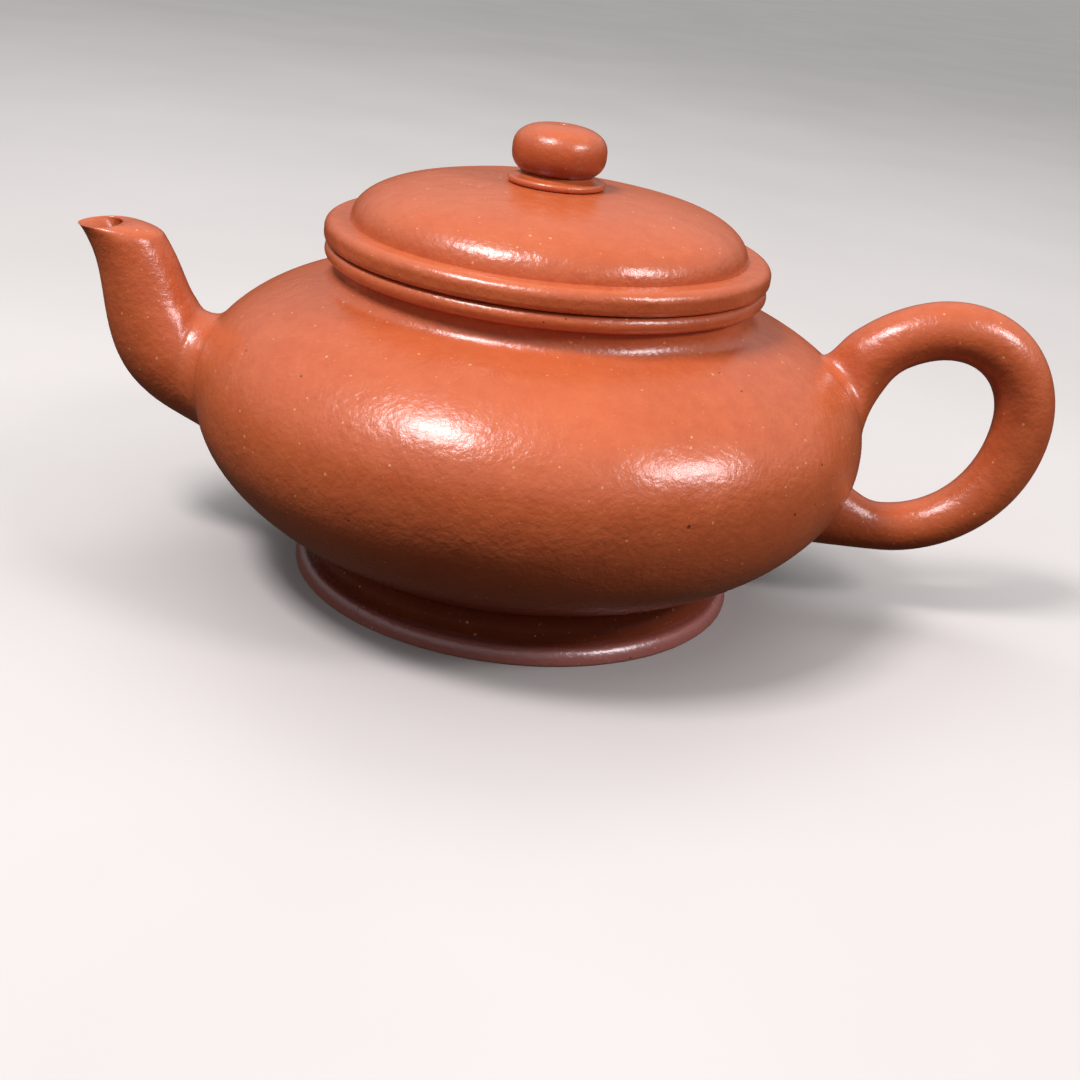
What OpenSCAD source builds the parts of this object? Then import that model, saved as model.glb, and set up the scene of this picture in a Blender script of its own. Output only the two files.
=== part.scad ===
// Yixing clay teapot with a press lid.
// It is joined from a beaten wall, discs, rings, a rolled handle and a hollow spout.
// Z is up. The origin is the middle of the foot's resting plane, on the pot's axis.
// The spout points along -X and the handle along +X.

/* [Belly] */
// Widest diameter of the belly
belly_d = 99.5; // [98:0.5:100]
// Height of the widest place above the table
belly_z = 27.1; // [26.8:0.1:27.6]
// Drop of the curve below the widest place
belly_drop = 26.3; // [26:0.1:26.6]
// Rise of the curve above the widest place
belly_rise = 20; // [19.6:0.1:20.4]
// Fullness of the lower curve, where 2 is an ellipse
low_power = 2; // [1.96:0.01:2.04]
// Fullness of the shoulder curve
high_power = 2.35; // [2.3:0.01:2.4]
// Thickness of the fired wall
wall = 2.6; // [2.2:0.1:2.8]

/* [Foot] */
// Diameter of the foot's band
foot_d = 68; // [67.5:0.5:69]
// Height of the seam between the wall and the base disc
base_z = 6.75; // [6.6:0.05:6.9]
// Thickness of the base disc
base_t = 3; // [2.5:0.1:3.2]
// Radius of the cove between the belly and the foot
cove_r = 2.2; // [2:0.1:2.3]
// Rounding of the foot band's upper edge
foot_round = 1.1; // [0.8:0.1:1.2]
// Diameter of the recess under the base
recess_d = 58.4; // [57:0.1:59]

/* [Mouth] */
// Height of the mouth's flat rim
mouth_z = 49.4; // [49.3:0.1:49.7]
// Bore of the mouth
mouth_d = 56; // [55:0.2:56.4]
// Outer diameter of the rim's bead
rim_d = 64.4; // [64:0.1:65]
// Height of the rim's bead
rim_t = 2.4; // [2.2:0.1:2.6]
// Radius at which the neck's cove leaves the shoulder
neck_start_r = 32.3; // [32.1:0.1:32.6]
// Radius of the neck's cove
neck_cove_r = 2.3; // [2.1:0.1:2.4]
// Radius of the seam between the wall and the shoulder disc
shoulder_seam_r = 36; // [35:0.5:37]

/* [Lid] */
// Outer diameter of the lid's plate
lid_d = 64.8; // [64.2:0.1:65.4]
// Thickness of the lid's plate at its edge
plate_t = 3.2; // [3:0.1:3.4]
// Diameter of the dome where it stands on the plate
dome_d = 57.8; // [57:0.2:58.4]
// Rise of the dome above its equator
dome_rise = 8.4; // [8.1:0.1:8.7]
// Height of the dome's equator above the plate's underside
dome_sink = 2.2; // [2:0.1:2.4]
// Fullness of the dome
dome_power = 2.7; // [2.5:0.05:2.9]
// Thickness of the dome
dome_t = 2.4; // [2:0.1:2.6]
// Length of the collar below the plate
collar_h = 8.5; // [7:0.5:9]
// Thickness of the collar
collar_t = 2.5; // [2.2:0.1:2.8]
// Running gap between the collar and the mouth
collar_gap = 0.3; // [0.2:0.05:0.5]

/* [Knob] */
// Widest diameter of the knob
knob_d = 13.6; // [13:0.1:14]
// Half the height of the knob's full curve
knob_half = 3.85; // [3.7:0.05:4]
// Fullness of the knob
knob_power = 2.6; // [2.4:0.05:2.8]
// Radius of the knob's flat seat
knob_seat_r = 5.1; // [4.8:0.1:5.4]
// Diameter of the pad under the knob
pad_d = 14.2; // [13.8:0.1:14.6]
// Thickness of the pad
pad_t = 1.6; // [1.4:0.1:1.8]
// Diameter of the air hole through the knob
vent_d = 1.2; // [1:0.1:1.6]

/* [Spout] */
// Half the width of the spout across the pot, at its root
spout_root_half = 10; // [9.6:0.1:10.4]
// Half the width of the spout across the pot, at its lip
spout_lip_half = 5.3; // [5:0.1:5.6]
// Thickness of the spout's wall at its root
spout_root_t = 3; // [2.7:0.1:3.1]
// Thickness of the spout's wall at its lip
spout_lip_t = 1.5; // [1.3:0.1:1.7]
// Height of the strainer's axis
strainer_z = 25.1; // [24.6:0.1:25.6]
// Diameter of the hole that the strainer closes
strainer_d = 12; // [11.6:0.1:12.2]
// Diameter of the strainer's pouring holes
pour_hole_d = 1.2; // [1:0.1:1.3]

/* [Handle] */
// Half thickness of the handle at its upper root
handle_top_half = 4.3; // [4.1:0.05:4.5]
// Half thickness of the handle at its widest reach
handle_mid_half = 4.35; // [4.2:0.05:4.6]
// Half thickness of the handle at its lower root
handle_low_half = 3.6; // [3.5:0.05:3.8]
// Width of the handle's section over its thickness
handle_oval = 1.06; // [1:0.01:1.12]
// Depth of the web under the upper root
web = 6.6; // [6:0.1:7.2]

/* [Hidden] */
clay = [0.74, 0.34, 0.20];
clay_lid = [0.78, 0.37, 0.22];
clay_foot = [0.55, 0.27, 0.20];
$fn = 96;
over = 1;
curve_steps = 16;
round_steps = 8;
spout_rings = 40;
spout_sides = 32;
handle_rings = 64;
handle_sides = 24;
belly_r = belly_d / 2;
foot_r = foot_d / 2;
mouth_r = mouth_d / 2;
rim_r = rim_t / 2;
edge_round = 0.4;
// Step over which the belly's slope is taken
slope_step = 0.01;
// Paths of the spout's outer and inner edges, and of the handle's centre line, as x and z
spout_outer = [[-45.2, 14.5], [-52.8, 21], [-71, 20.5], [-60.4, 40.3], [-68.9, 46.5]];
spout_inner = [[-46.4, 35], [-53.9, 33.7], [-51.8, 41.3], [-55, 43.8], [-57.2, 47.4]];
handle_upper = [[44, 35.7], [50, 40.7], [57.5, 52.1], [74.3, 46.5], [74.3, 32.7]];
handle_lower = [[74.3, 32.7], [74.3, 22.1], [65.6, 9.1], [45.6, 15.4]];
// Middle and half height of each root where it is luted to the wall
handle_root_high = [32.6, 6.9];
handle_root_low = [15.7, 5.2];
spout_root = [24.75, 10.25];
// Depth to which the luted roots are pressed into the wall
lute = 0.15;
// Shares of the spout's length over which its root blends in and widens, and how much it widens
spout_blend = 0.32;
spout_flare_share = 0.18;
spout_flare = 2.2;
// How early along the spout its width and its wall reach their values at the lip
width_pace = 1.05;
wall_pace = 1.3;
// Share of the handle's length over which a root blends in, and how much the roots widen
handle_blend = 0.1;
high_flare = 1.3;
low_flare = 1.2;
web_share = 0.16;
path_step = 0.002;
// The strainer's wall, its rise inside the pot, its plug in the pot's wall, and its pouring holes
strainer_t = 1.5;
strainer_face_t = 1.2;
strainer_rise = 2.5;
strainer_round = 1;
strainer_plug = 1.3;
pour_rows = 2;
pour_row = 1.8;
row_holes = 6;
// Roundings of the lid's plate and of the knob's pad
plate_low_round = 1;
plate_high_round = 1.4;
pad_round = 0.5;
// Depth of the flat on the dome's top, and the angle at which its inside turns flat
dome_flat = 0.1;
dome_flat_a = 84;
// Angle above the knob's equator at which its upper curve starts
knob_join_a = 4;

// ---- curves ----
function mix(a, b, u) = a * (1 - u) + b * u;
function smooth(u) = let(v = max(0, min(1, u))) v * v * (3 - 2 * v);
function bezier(p, u) =
    len(p) == 1 ? p[0] : bezier([for (i = [0:len(p) - 2]) mix(p[i], p[i + 1], u)], u);
function arc(c, r, a0, a1, steps) =
    [for (i = [0:steps]) c + r * [cos(mix(a0, a1, i / steps)), sin(mix(a0, a1, i / steps))]];

// Radius of the belly's outside at height z, and of its inside for a depth below the outside
function swell(z, depth) =
    let(low = z < belly_z)
    let(n = low ? low_power : high_power)
    let(u = abs(z - belly_z) / ((low ? belly_drop : belly_rise) - depth))
    (belly_r - depth) * pow(max(0, 1 - pow(u, n)), 1 / n);
// Height of the shoulder curve at radius r
function shoulder_z(r, depth) =
    let(u = r / (belly_r - depth))
    belly_z + (belly_rise - depth) * pow(1 - pow(u, high_power), 1 / high_power);
// Angle along the belly curve at height z
function swell_angle(z, depth) =
    let(low = z < belly_z)
    let(n = low ? low_power : high_power)
    let(u = abs(z - belly_z) / ((low ? belly_drop : belly_rise) - depth))
    (low ? -1 : 1) * asin(pow(u, n / 2));
function swell_point(a, depth) =
    let(n = a < 0 ? low_power : high_power)
    let(h = (a < 0 ? -belly_drop : belly_rise) - sign(a) * depth)
    [(belly_r - depth) * pow(cos(a), 2 / n), belly_z + h * pow(abs(sin(a)), 2 / n)];
function swell_curve(z0, z1, depth, steps) =
    [for (i = [0:steps]) swell_point(mix(swell_angle(z0, depth), swell_angle(z1, depth), i / steps),
                                     depth)];
// Quarter of a full dome curve, from its equator to its top
function dome_curve(r, h, n, a0, a1, steps) =
    [for (i = [0:steps]) let(a = mix(a0, a1, i / steps)) [r * pow(cos(a), 2 / n),
                                                          h * pow(sin(a), 2 / n)]];

// ---- foot and base ----
base_r = swell(base_z, 0);
base_slope = atan2(slope_step, swell(base_z + slope_step, 0) - base_r);
cove_c = [base_r + cove_r * sin(base_slope), base_z - cove_r * cos(base_slope)];
under_z = base_z - base_t;
cove_split = 180 + asin((cove_c[1] - under_z) / cove_r);
band_z = cove_c[1] - cove_r;
// The band's rounding ends where the cove starts
band_round = min(foot_round, foot_r - cove_c[0]);

module foot_ring() {
    color(clay_foot)
    rotate_extrude()
    polygon(concat(
        arc([recess_d / 2 + edge_round, edge_round], edge_round, 180, 270, round_steps / 2),
        arc([foot_r - edge_round, edge_round], edge_round, 270, 360, round_steps / 2),
        arc([foot_r - band_round, band_z - band_round], band_round, 0, 90, round_steps),
        arc(cove_c, cove_r, 270, cove_split, round_steps),
        [[recess_d / 2, under_z]]));
}

module base_disc() {
    color(clay_foot)
    rotate_extrude()
    polygon(concat([[0, under_z]],
        arc(cove_c, cove_r, cove_split, 90 + base_slope, round_steps),
        [[0, base_z]]));
}

// ---- wall, shoulder and mouth ----
seam_z = shoulder_z(shoulder_seam_r, 0);
seam_in_z = shoulder_z(shoulder_seam_r, wall);
neck_start_z = shoulder_z(neck_start_r, 0);
neck_slope = atan2(shoulder_z(neck_start_r - slope_step, 0) - neck_start_z, slope_step);
neck_c = [neck_start_r + neck_cove_r * sin(neck_slope),
          neck_start_z + neck_cove_r * cos(neck_slope)];
rim_low_z = mouth_z - rim_t;

module belly_wall() {
    color(clay)
    difference() {
        rotate_extrude()
        polygon(concat(swell_curve(base_z, seam_z, 0, 2 * curve_steps),
                       swell_curve(seam_in_z, base_z, wall, 2 * curve_steps)));
        translate([-belly_r - over, 0, strainer_z])
        rotate([0, 90, 0])
        cylinder(d = strainer_d, h = belly_r);
    }
}

module shoulder_disc() {
    color(clay)
    rotate_extrude()
    polygon(concat(swell_curve(seam_z, neck_start_z, 0, round_steps),
                   [[mouth_r, neck_start_z]],
                   swell_curve(shoulder_z(mouth_r, wall), seam_in_z, wall, round_steps)));
}

module neck_ring() {
    color(clay)
    rotate_extrude()
    polygon(concat(arc(neck_c, neck_cove_r, 270 - neck_slope, 180, round_steps),
                   [[neck_c[0] - neck_cove_r, rim_low_z], [mouth_r, rim_low_z],
                    [mouth_r, neck_start_z]]));
}

module mouth_rim() {
    color(clay)
    rotate_extrude()
    polygon(concat(arc([rim_d / 2 - rim_r, mouth_z - rim_r], rim_r, -90, 90, 2 * round_steps),
                   [[mouth_r, mouth_z], [mouth_r, rim_low_z]]));
}

// ---- swept pieces ----
// Faces between rings of points, each ring having the same number of points
function ring_faces(first, next, sides, flip) =
    [for (i = [0:sides - 1]) let(j = (i + 1) % sides)
        flip ? [next + i, next + j, first + j, first + i]
             : [first + i, first + j, next + j, next + i]];
// Point of a root ring on the belly, where side is +1 towards the handle and -1 towards the spout
function root_point(side, mid_z, half_z, half_y, a) =
    let(z = mid_z + half_z * cos(a))
    let(y = half_y * sin(a))
    [side * (sqrt(pow(swell(z, 0), 2) - y * y) - lute), y, z];

// ---- spout ----
function spout_half_y(u) =
    mix(spout_root_half - spout_flare, spout_lip_half, smooth(u * width_pace))
    + spout_flare * pow(max(0, 1 - u / spout_flare_share), 2);
function spout_wall(u) = mix(spout_root_t, spout_lip_t, smooth(u * wall_pace));
function spout_flat(u, a, t) =
    let(o = bezier(spout_outer, u))
    let(i = bezier(spout_inner, u))
    let(c = (o + i) / 2)
    let(h = (i - o) / 2)
    let(k = 1 - t / norm(h))
    let(q = c + h * k * cos(a))
    [q[0], (spout_half_y(u) - t) * sin(a), q[1]];
function spout_point(u, a, t) =
    let(shift = root_point(-1, spout_root[0], spout_root[1] - t, spout_root_half - t, a)
                - spout_flat(0, a, t))
    spout_flat(u, a, t) + shift * smooth(1 - u / spout_blend);

module spout() {
    n = spout_sides;
    outer = [for (k = [0:spout_rings]) for (i = [0:n - 1])
             spout_point(k / spout_rings, i * 360 / n, 0)];
    inner = [for (k = [0:spout_rings]) for (i = [0:n - 1])
             spout_point(k / spout_rings, i * 360 / n, spout_wall(k / spout_rings))];
    m = len(outer);
    last = m - n;
    color(clay)
    polyhedron(concat(outer, inner), concat(
        [for (k = [0:spout_rings - 1]) for (f = ring_faces(k * n, (k + 1) * n, n, true)) f],
        [for (k = [0:spout_rings - 1]) for (f = ring_faces(m + k * n, m + (k + 1) * n, n, false)) f],
        ring_faces(0, m, n, false),
        ring_faces(last, m + last, n, true)), convexity = 6);
}

// Raised strainer inside the pot, with rings of pouring holes
module spout_strainer() {
    r = strainer_d / 2;
    r_in = r - strainer_t;
    face = strainer_rise - strainer_face_t;
    color(clay)
    translate([-sqrt(pow(belly_r - wall, 2) - r * r), 0, strainer_z])
    rotate([0, 90, 0])
    difference() {
        rotate_extrude()
        polygon(concat([[r, -strainer_plug]],
                       arc([r - strainer_round, strainer_rise - strainer_round], strainer_round,
                           0, 90, round_steps / 2),
                       [[0, strainer_rise], [0, face], [r_in, face], [r_in, -strainer_plug]]));
        for (row = [0:pour_rows])
            for (i = [0:max(1, row * row_holes) - 1])
                rotate([0, 0, i * 360 / max(1, row * row_holes)])
                translate([row * pour_row, 0, 0])
                cylinder(d = pour_hole_d, h = r);
    }
}

// ---- handle ----
// The upper and the lower path each take half of the handle's length
function handle_path(u) =
    2 * u < 1 ? bezier(handle_upper, 2 * u) : bezier(handle_lower, 2 * u - 1);
function handle_half(u) =
    2 * u < 1 ? mix(handle_top_half, handle_mid_half, smooth(2 * u))
              : mix(handle_mid_half, handle_low_half, smooth(2 * u - 1));
function handle_flat(u, a) =
    let(t = handle_path(min(1, u + path_step)) - handle_path(max(0, u - path_step)))
    let(nrm = [-t[1], t[0]] / norm(t))
    let(high = web * pow(max(0, 1 - u / web_share), 2) / 2)
    let(flare = high_flare * pow(max(0, 1 - u / handle_blend), 2)
                + low_flare * pow(max(0, 1 - (1 - u) / handle_blend), 2))
    let(h = handle_half(u))
    let(c = handle_path(u) - nrm * high)
    let(q = c + nrm * (h + high + flare) * cos(a))
    [q[0], (h * handle_oval + flare) * sin(a), q[1]];
function handle_point(u, a) =
    let(high = root_point(1, handle_root_high[0], handle_root_high[1],
                          handle_top_half * handle_oval + high_flare, a) - handle_flat(0, a))
    let(low = root_point(1, handle_root_low[0], -handle_root_low[1],
                         handle_low_half * handle_oval + low_flare, a) - handle_flat(1, a))
    handle_flat(u, a) + high * smooth(1 - u / handle_blend)
                      + low * smooth(1 - (1 - u) / handle_blend);

module handle() {
    n = handle_sides;
    skin = [for (k = [0:handle_rings]) for (i = [0:n - 1])
            handle_point(k / handle_rings, i * 360 / n)];
    m = len(skin);
    last = m - n;
    // Each root is closed by a fan round a point on the wall
    ends = [root_point(1, handle_root_high[0], 0, 0, 0), root_point(1, handle_root_low[0], 0, 0, 0)];
    color(clay)
    polyhedron(concat(skin, ends), concat(
        [for (k = [0:handle_rings - 1]) for (f = ring_faces(k * n, (k + 1) * n, n, false)) f],
        [for (i = [0:n - 1]) [m, (i + 1) % n, i]],
        [for (i = [0:n - 1]) [m + 1, last + i, last + (i + 1) % n]]), convexity = 6);
}

// ---- lid ----
plate_z = mouth_z;
plate_r = lid_d / 2;
plate_top_z = plate_z + plate_t;
collar_r = mouth_r - collar_gap;
dome_z = plate_z + dome_sink;
dome_r = dome_d / 2;
dome_cut = asin(pow((plate_top_z - dome_z) / dome_rise, dome_power / 2));
dome_in_cut = asin(pow((plate_top_z - dome_z) / (dome_rise - dome_t), dome_power / 2));
dome_top_z = dome_z + dome_rise - dome_flat;
dome_top_a = asin(pow((dome_rise - dome_flat) / dome_rise, dome_power / 2));
vent_r = vent_d / 2;

module lid_collar() {
    color(clay_lid)
    rotate_extrude()
    polygon(concat(
        arc([collar_r - edge_round, plate_z - collar_h + edge_round], edge_round,
            270, 360, round_steps / 2),
        [[collar_r, plate_z], [collar_r - collar_t, plate_z]],
        arc([collar_r - collar_t + edge_round, plate_z - collar_h + edge_round], edge_round,
            180, 270, round_steps / 2)));
}

module lid_plate() {
    color(clay_lid)
    rotate_extrude()
    polygon(concat(
        arc([plate_r - plate_low_round, plate_z + plate_low_round], plate_low_round,
            270, 360, round_steps),
        arc([plate_r - plate_high_round, plate_top_z - plate_high_round], plate_high_round,
            0, 90, round_steps),
        [[collar_r - collar_t, plate_top_z], [collar_r - collar_t, plate_z]]));
}

module lid_dome() {
    outside = [for (p = dome_curve(dome_r, dome_rise, dome_power, dome_cut, dome_top_a, curve_steps))
               p + [0, dome_z]];
    inside = [for (p = dome_curve(dome_r - dome_t, dome_rise - dome_t, dome_power, dome_in_cut,
                                  dome_flat_a, curve_steps))
              p + [0, dome_z]];
    color(clay_lid)
    rotate_extrude()
    polygon(concat(outside, [[vent_r, dome_top_z], [vent_r, dome_z + dome_rise - dome_t]],
                   [for (i = [curve_steps:-1:0]) inside[i]]));
}

pad_r = pad_d / 2;
knob_r = knob_d / 2;
knob_z = dome_top_z + pad_t;
// Height of the knob's equator above its seat
knob_mid = knob_half * pow(1 - pow(knob_seat_r / knob_r, knob_power), 1 / knob_power);
knob_low_a = asin(pow(knob_mid / knob_half, knob_power / 2));
knob_top_a = acos(pow(vent_r / knob_r, knob_power / 2));

module knob_pad() {
    color(clay_lid)
    rotate_extrude()
    polygon(concat([[vent_r, dome_top_z]],
                   arc([pad_r - pad_round, dome_top_z + pad_round], pad_round, -90, 90, round_steps),
                   [[knob_seat_r, knob_z], [vent_r, knob_z]]));
}

module knob() {
    low = [for (p = dome_curve(knob_r, knob_half, knob_power, knob_low_a, 0, curve_steps))
           [p[0], knob_z + knob_mid - p[1]]];
    high = [for (p = dome_curve(knob_r, knob_half, knob_power, knob_join_a, knob_top_a,
                                curve_steps))
            [p[0], knob_z + knob_mid + p[1]]];
    color(clay_lid)
    rotate_extrude()
    polygon(concat([[vent_r, knob_z]], low, high));
}

foot_ring();
base_disc();
belly_wall();
shoulder_disc();
neck_ring();
mouth_rim();
spout();
spout_strainer();
handle();
lid_collar();
lid_plate();
lid_dome();
knob_pad();
knob();
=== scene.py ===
"""Looks of a hand-built clay teapot.

Each clay piece is rebuilt finely in place of its CAD node: turned pieces from their outlines, the
spout and the handle from swept sections with the slip fillets that lute them to the belly.
Everything is in metres in the CAD frame, +Z up, spout towards -X and handle towards +X.
"""
import math
from collections import namedtuple

import bmesh
import bpy
import numpy as np
from mathutils import Matrix, Vector


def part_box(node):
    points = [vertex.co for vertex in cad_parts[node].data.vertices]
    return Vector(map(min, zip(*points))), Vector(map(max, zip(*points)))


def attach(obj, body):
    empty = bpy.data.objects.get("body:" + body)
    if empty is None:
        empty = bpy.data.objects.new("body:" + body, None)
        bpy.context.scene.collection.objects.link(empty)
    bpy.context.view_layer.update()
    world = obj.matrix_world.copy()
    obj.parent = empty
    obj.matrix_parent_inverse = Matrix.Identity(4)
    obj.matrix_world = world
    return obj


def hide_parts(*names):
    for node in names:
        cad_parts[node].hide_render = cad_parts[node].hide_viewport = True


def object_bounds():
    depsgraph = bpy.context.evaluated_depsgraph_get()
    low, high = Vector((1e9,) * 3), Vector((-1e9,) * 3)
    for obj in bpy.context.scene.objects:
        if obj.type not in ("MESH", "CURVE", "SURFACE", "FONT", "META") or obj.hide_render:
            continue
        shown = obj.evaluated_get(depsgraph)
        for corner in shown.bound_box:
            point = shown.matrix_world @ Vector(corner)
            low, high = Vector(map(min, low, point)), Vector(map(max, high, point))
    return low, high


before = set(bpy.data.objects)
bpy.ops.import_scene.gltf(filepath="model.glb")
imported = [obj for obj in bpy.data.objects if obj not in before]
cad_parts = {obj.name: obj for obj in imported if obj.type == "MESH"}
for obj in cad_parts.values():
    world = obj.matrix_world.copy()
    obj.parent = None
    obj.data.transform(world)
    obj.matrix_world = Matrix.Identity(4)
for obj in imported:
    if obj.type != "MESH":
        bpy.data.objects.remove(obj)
CAD_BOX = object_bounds()
MM = 0.001


def box(node):
    """Lowest and highest corner of a CAD node as arrays."""
    low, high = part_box(node)
    return np.array(low), np.array(high)


# ---- places and sizes, from the CAD nodes ----
_, FOOT_HIGH = box("foot_ring")
BASE_LOW, BASE_HIGH = box("base_disc")
_, WALL_HIGH = box("belly_wall")
RIM_LOW, RIM_HIGH = box("mouth_rim")
_, PLATE_HIGH = box("lid_plate")
COLLAR_LOW, COLLAR_HIGH = box("lid_collar")
_, DOME_HIGH = box("lid_dome")
PAD_LOW, PAD_HIGH = box("knob_pad")
_, KNOB_HIGH = box("knob")
STRAINER_LOW, STRAINER_HIGH = box("spout_strainer")

FOOT_R = FOOT_HIGH[0]
UNDER_Z = BASE_LOW[2]
BASE_Z = BASE_HIGH[2]
BELLY_R = WALL_HIGH[0]
SEAM_Z = WALL_HIGH[2]
RIM_R = RIM_HIGH[0]
RIM_Z = RIM_LOW[2]
MOUTH_Z = RIM_HIGH[2]
PLATE_R = PLATE_HIGH[0]
PLATE_Z = PLATE_HIGH[2]
COLLAR_R = COLLAR_HIGH[0]
DOME_Z = DOME_HIGH[2]
PAD_Z = PAD_HIGH[2]

# ---- the belly's curve: an upper and a lower full curve that meet at the widest height ----
BELLY_Z = 27.1 * MM
BELLY_DROP = 26.3 * MM
BELLY_RISE = 20 * MM
LOW_POWER = 2.0
HIGH_POWER = 2.35
WALL = 2.6 * MM

SIDES = 256  # of every turned piece
SHARP = math.radians(38)  # an edge that turns by more stays crisp
FILM = 0.02 * MM  # how far clay that only lies on clay stands off it
SAME = 1e-7  # points of an outline closer than this, in metres, are one
MERGE = 1e-8  # the same for the points of a mesh
EDGE_SHARE = 0.02  # where a straight stretch has its extra points, as a share of its length
HEM_SHARE = 0.04  # where a curve has its extra points, as a share of its first and last step


# ---- curves ----
def mix(a, b, u):
    """From a at share 0 to b at share 1."""
    return a * (1 - u) + b * u


def smooth(u):
    """Share 0 to 1 with a level start and end."""
    u = np.clip(u, 0, 1)
    return u * u * (3 - 2 * u)


def unit(vectors):
    """The same directions at length one."""
    return vectors / np.linalg.norm(vectors, axis=1)[:, None]


def arc(centre, radius, start, end, steps):
    """Points of a round corner, angles in degrees."""
    a = np.radians(np.linspace(start, end, steps + 1))
    return np.column_stack([centre[0] + radius * np.cos(a), centre[1] + radius * np.sin(a)])


def bezier(points, u):
    """Points at shares u along the curve that a list of control points draws."""
    rows = [np.outer(np.ones(len(u)), p) for p in points]
    while len(rows) > 1:
        rows = [mix(a, b, u[:, None]) for a, b in zip(rows, rows[1:])]
    return rows[0]


def line(first, last, steps):
    """Points along a straight stretch, close together near both ends so that its shading is flat."""
    share = np.concatenate([[0, EDGE_SHARE], np.linspace(0, 1, steps + 1)[1:-1], [1 - EDGE_SHARE, 1]])
    return np.outer(1 - share, first) + np.outer(share, last)


def hem(curve):
    """The same curve with a close point by each end, so that its shading runs on into the next piece."""
    first = mix(curve[0], curve[1], HEM_SHARE)
    last = mix(curve[-1], curve[-2], HEM_SHARE)
    return np.vstack([curve[:1], first, curve[1:-1], last, curve[-1:]])


def swell(z, depth=0.0):
    """Radius of the belly's outside at height z, or of its inside for a depth below the outside."""
    low = np.asarray(z, float) < BELLY_Z
    power = np.where(low, LOW_POWER, HIGH_POWER)
    reach = np.where(low, BELLY_DROP, BELLY_RISE) - depth
    u = np.abs(z - BELLY_Z) / reach
    return (BELLY_R - depth) * np.maximum(0, 1 - u**power) ** (1 / power)


def shoulder_z(r, depth=0.0):
    """Height of the shoulder at radius r."""
    u = r / (BELLY_R - depth)
    return BELLY_Z + (BELLY_RISE - depth) * (1 - u**HIGH_POWER) ** (1 / HIGH_POWER)


def belly_curve(z0, z1, depth, steps):
    """Outline of the belly between two heights, evenly spread along the curve."""

    def angle(z):
        low = z < BELLY_Z
        power = LOW_POWER if low else HIGH_POWER
        reach = (BELLY_DROP if low else BELLY_RISE) - depth
        u = abs(z - BELLY_Z) / reach
        return (-1 if low else 1) * math.asin(u ** (power / 2))

    a = np.linspace(angle(z0), angle(z1), steps + 1)
    power = np.where(a < 0, LOW_POWER, HIGH_POWER)
    reach = np.where(a < 0, -(BELLY_DROP - depth), BELLY_RISE - depth)
    r = (BELLY_R - depth) * np.cos(a) ** (2 / power)
    z = BELLY_Z + reach * np.abs(np.sin(a)) ** (2 / power)
    return np.column_stack([r, z])


def dome_curve(r, h, power, start, end, steps):
    """Full curve of radius r and height h above its equator, angles in radians from the equator."""
    a = np.linspace(start, end, steps + 1)
    return np.column_stack([r * np.cos(a) ** (2 / power), h * np.sin(a) ** (2 / power)])


# ---- hand work: a slow wander of every surface, still at the foot and at the lid's seat ----
WANDER = 0.16 * MM
# Each wave's turn in radians per metre along x, y and z, and its phase in each direction of the move
WANDER_WAVES = (
    ((150, 90, 60), (0.3, 1.9, 4.1)),
    ((-110, 170, 100), (2.2, 0.7, 3.3)),
    ((60, -140, 190), (5.1, 2.8, 0.4)),
    ((290, 230, -160), (1.4, 4.6, 2.0)),
)
CALM = 5 * MM  # height over which the wander sets in


def wander(points):
    """Moves points by slow waves that depend on the place alone, so that pieces that touch stay so."""
    move = np.zeros_like(points)
    for wave, phases in WANDER_WAVES:
        turn = points @ np.array(wave, float)
        move += np.column_stack([np.sin(turn + phase) for phase in phases])
    z = points[:, 2]
    calm = smooth(z / CALM) * smooth(np.abs(z - MOUTH_Z) / CALM)
    return points + move * (WANDER / len(WANDER_WAVES)) * calm[:, None]


# ---- meshes ----
def make_mesh(name, points, faces):
    """A closed, smooth-shaded object with outward normals and crisp edges where the clay is crisp."""
    mesh = bpy.data.meshes.new(name)
    placed = np.clip(wander(np.asarray(points, float)), *CAD_BOX)
    mesh.from_pydata(placed.tolist(), [], faces)
    work = bmesh.new()
    work.from_mesh(mesh)
    bmesh.ops.remove_doubles(work, verts=work.verts, dist=MERGE)
    bmesh.ops.recalc_face_normals(work, faces=work.faces)
    work.to_mesh(mesh)
    work.free()
    mesh.shade_smooth()
    mesh.set_sharp_from_angle(angle=SHARP)
    piece = bpy.data.objects.new(name, mesh)
    bpy.context.scene.collection.objects.link(piece)
    return piece


def grid_faces(rows, sides, closed):
    """Quads between rows of points that each close on themselves."""
    faces = []
    for k in range(rows if closed else rows - 1):
        here = k * sides
        there = (k + 1) % rows * sides
        for i in range(sides):
            j = (i + 1) % sides
            faces.append((here + i, here + j, there + j, there + i))
    return faces


def fan_faces(pole, first, sides):
    """Triangles from a pole to a row of points."""
    return [(pole, first + i, first + (i + 1) % sides) for i in range(sides)]


def spin(outline, poles=None):
    """Points and faces of a closed outline turned round Z.

    An outline of a piece without a bore is open at the axis, where poles gives its two heights.
    """
    outline = np.vstack(outline)
    keep = np.r_[True, np.linalg.norm(np.diff(outline, axis=0), axis=1) > SAME]
    outline = outline[keep]
    if np.linalg.norm(outline[0] - outline[-1]) < SAME:
        outline = outline[:-1]
    a = np.linspace(0, 2 * math.pi, SIDES, endpoint=False)
    r = outline[:, :1]
    points = np.stack([r * np.cos(a), r * np.sin(a), outline[:, 1:] * np.ones(SIDES)], axis=-1)
    points = points.reshape(-1, 3)
    faces = grid_faces(len(outline), SIDES, poles is None)
    if poles is not None:
        count = len(points)
        faces += fan_faces(count, 0, SIDES) + fan_faces(count + 1, count - SIDES, SIDES)
        points = np.vstack([points, [(0, 0, z) for z in poles]])
    return points, faces


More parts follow.
